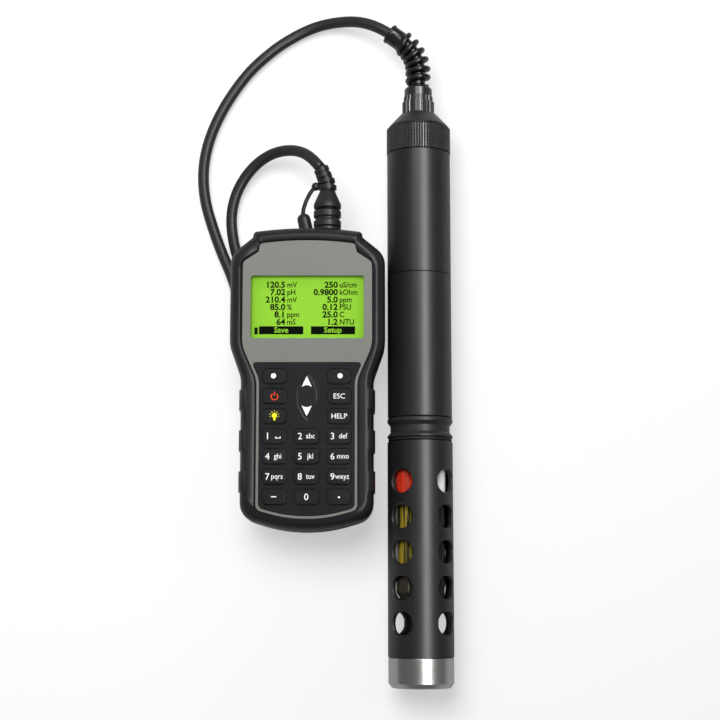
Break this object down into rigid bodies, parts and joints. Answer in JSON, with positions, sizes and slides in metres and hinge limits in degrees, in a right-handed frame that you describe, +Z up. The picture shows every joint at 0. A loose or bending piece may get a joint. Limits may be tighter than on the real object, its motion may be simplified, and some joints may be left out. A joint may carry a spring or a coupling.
{
  "type": "multiparameter water quality meter",
  "caption": "Handheld meter in a rubber boot with display and keypad, joined by a coiled lead to a cylindrical submersible sensor probe.",
  "frame": {"origin": "on the floor, below the middle of the box round the meter and the probe, without the lead and what is on it", "axes": "+Y from the probe's steel end to its gland and from the meter's foot to its socket; +X from the meter to the probe; +Z up, out of the keypad"},
  "size_m": [0.1608, 0.4247, 0.049],
  "materials": {
    "boot_rubber": "satin black moulded rubber",
    "case_plastic": "dark grey fine texture",
    "seal_rubber": "black",
    "panel": "satin grey-green",
    "keypad": "black",
    "mat_rubber": "translucent grey",
    "window": "clear",
    "lcd": "yellow-green display",
    "board": "green",
    "cells": "wrapped cells",
    "contacts": "plated springs",
    "screws": "plain",
    "key_rubber": "satin black",
    "plug_plastic": "fine matt",
    "soft_rubber": "satin",
    "lead": "smooth sheath",
    "tie": "black",
    "spring_rubber": "glossy black",
    "gland": "dark grey",
    "tube_plastic": "satin black",
    "inner_plastic": "grey",
    "block_plastic": "dark grey",
    "red_sensor": "glossy red",
    "white_sensor": "white and black",
    "dark_sensor": "black",
    "pin_steel": "polished pin",
    "steel": "turned stainless steel"
  },
  "bodies": {
    "meter_and_probe": {"rubber_boot": "boot_rubber", "front_case": "case_plastic", "rear_case": "case_plastic", "battery_door": "case_plastic", "probe_socket": "case_plastic", "case_gasket": "seal_rubber", "sleeve_seal": "seal_rubber", "front_panel": "panel", "keypad_plate": "keypad", "keypad_mat": "mat_rubber", "display_window": "window", "lcd_module": "lcd", "main_board": "board", "batteries": "cells", "battery_contacts": "contacts", "case_screws": "screws", "plug_core": "plug_plastic", "plug_shell": "plug_plastic", "plug_boot": "soft_rubber", "cap_tether": "soft_rubber", "dust_cap": "soft_rubber", "cable_to_meter": "lead", "cable_coil": "lead", "cable_to_probe": "lead", "coil_tie": "tie", "strain_relief": "spring_rubber", "cap_body": "gland", "upper_tube": "tube_plastic", "lower_tube": "tube_plastic", "joint_ring": "inner_plastic", "sensor_block": "block_plastic", "ph_sensor": "red_sensor", "oxygen_sensor": "white_sensor", "conductivity_sensor": "dark_sensor", "temperature_pin": "pin_steel"},
    "sleeve": {"protective_sleeve": "tube_plastic", "steel_weight": "steel"},
    "key_soft_left_body": {"key_soft_left": "key_rubber"},
    "key_soft_right_body": {"key_soft_right": "key_rubber"},
    "key_power_body": {"key_power": "key_rubber"},
    "key_esc_body": {"key_esc": "key_rubber"},
    "key_light_body": {"key_light": "key_rubber"},
    "key_help_body": {"key_help": "key_rubber"},
    "key_1_body": {"key_1": "key_rubber"},
    "key_2_body": {"key_2": "key_rubber"},
    "key_3_body": {"key_3": "key_rubber"},
    "key_4_body": {"key_4": "key_rubber"},
    "key_5_body": {"key_5": "key_rubber"},
    "key_6_body": {"key_6": "key_rubber"},
    "key_7_body": {"key_7": "key_rubber"},
    "key_8_body": {"key_8": "key_rubber"},
    "key_9_body": {"key_9": "key_rubber"},
    "key_minus_body": {"key_minus": "key_rubber"},
    "key_0_body": {"key_0": "key_rubber"},
    "key_dot_body": {"key_dot": "key_rubber"},
    "key_nav_body": {"key_nav": "key_rubber"},
    "plug_collar_body": {"plug_collar": "plug_plastic"},
    "knurled_ring_body": {"knurled_ring": "gland"},
    "gland_nut_body": {"gland_nut": "gland"}
  },
  "joints": [
    {"name": "press_soft_left", "type": "slide", "parent": "meter_and_probe", "child": "key_soft_left_body", "axis": [0, 0, -1], "range_m": [0, 0.0008], "stiffness_N_per_m": 400},
    {"name": "press_soft_right", "type": "slide", "parent": "meter_and_probe", "child": "key_soft_right_body", "axis": [0, 0, -1], "range_m": [0, 0.0008], "stiffness_N_per_m": 400},
    {"name": "press_power", "type": "slide", "parent": "meter_and_probe", "child": "key_power_body", "axis": [0, 0, -1], "range_m": [0, 0.0008], "stiffness_N_per_m": 400},
    {"name": "press_esc", "type": "slide", "parent": "meter_and_probe", "child": "key_esc_body", "axis": [0, 0, -1], "range_m": [0, 0.0008], "stiffness_N_per_m": 400},
    {"name": "press_light", "type": "slide", "parent": "meter_and_probe", "child": "key_light_body", "axis": [0, 0, -1], "range_m": [0, 0.0008], "stiffness_N_per_m": 400},
    {"name": "press_help", "type": "slide", "parent": "meter_and_probe", "child": "key_help_body", "axis": [0, 0, -1], "range_m": [0, 0.0008], "stiffness_N_per_m": 400},
    {"name": "press_1", "type": "slide", "parent": "meter_and_probe", "child": "key_1_body", "axis": [0, 0, -1], "range_m": [0, 0.0008], "stiffness_N_per_m": 400},
    {"name": "press_2", "type": "slide", "parent": "meter_and_probe", "child": "key_2_body", "axis": [0, 0, -1], "range_m": [0, 0.0008], "stiffness_N_per_m": 400},
    {"name": "press_3", "type": "slide", "parent": "meter_and_probe", "child": "key_3_body", "axis": [0, 0, -1], "range_m": [0, 0.0008], "stiffness_N_per_m": 400},
    {"name": "press_4", "type": "slide", "parent": "meter_and_probe", "child": "key_4_body", "axis": [0, 0, -1], "range_m": [0, 0.0008], "stiffness_N_per_m": 400},
    {"name": "press_5", "type": "slide", "parent": "meter_and_probe", "child": "key_5_body", "axis": [0, 0, -1], "range_m": [0, 0.0008], "stiffness_N_per_m": 400},
    {"name": "press_6", "type": "slide", "parent": "meter_and_probe", "child": "key_6_body", "axis": [0, 0, -1], "range_m": [0, 0.0008], "stiffness_N_per_m": 400},
    {"name": "press_7", "type": "slide", "parent": "meter_and_probe", "child": "key_7_body", "axis": [0, 0, -1], "range_m": [0, 0.0008], "stiffness_N_per_m": 400},
    {"name": "press_8", "type": "slide", "parent": "meter_and_probe", "child": "key_8_body", "axis": [0, 0, -1], "range_m": [0, 0.0008], "stiffness_N_per_m": 400},
    {"name": "press_9", "type": "slide", "parent": "meter_and_probe", "child": "key_9_body", "axis": [0, 0, -1], "range_m": [0, 0.0008], "stiffness_N_per_m": 400},
    {"name": "press_minus", "type": "slide", "parent": "meter_and_probe", "child": "key_minus_body", "axis": [0, 0, -1], "range_m": [0, 0.0008], "stiffness_N_per_m": 400},
    {"name": "press_0", "type": "slide", "parent": "meter_and_probe", "child": "key_0_body", "axis": [0, 0, -1], "range_m": [0, 0.0008], "stiffness_N_per_m": 400},
    {"name": "press_dot", "type": "slide", "parent": "meter_and_probe", "child": "key_dot_body", "axis": [0, 0, -1], "range_m": [0, 0.0008], "stiffness_N_per_m": 400},
    {"name": "rock_nav", "type": "hinge", "parent": "meter_and_probe", "child": "key_nav_body", "pos_m": [-0.0208, -0.01387, 0.0455], "axis": [1, 0, 0], "range_deg": [-3.5, 3.5], "stiffness_Nm_per_rad": 0.06},
    {"name": "turn_plug_collar", "type": "hinge", "parent": "meter_and_probe", "child": "plug_collar_body", "pos_m": [-0.0091, 0.099, 0.0316], "axis": [0, 1, 0], "range_deg": [0, 120]},
    {"name": "turn_knurled_ring", "type": "hinge", "parent": "meter_and_probe", "child": "knurled_ring_body", "pos_m": [0.048, 0.151, 0.02], "axis": [0, 1, 0], "continuous": true},
    {"name": "turn_gland_nut", "type": "hinge", "parent": "meter_and_probe", "child": "gland_nut_body", "pos_m": [0.048, 0.178, 0.02], "axis": [0, 1, 0], "continuous": true},
    {"name": "draw_off_sleeve", "type": "slide", "parent": "meter_and_probe", "child": "sleeve", "axis": [0, -1, 0], "range_m": [0, 0.1]}
  ]
}
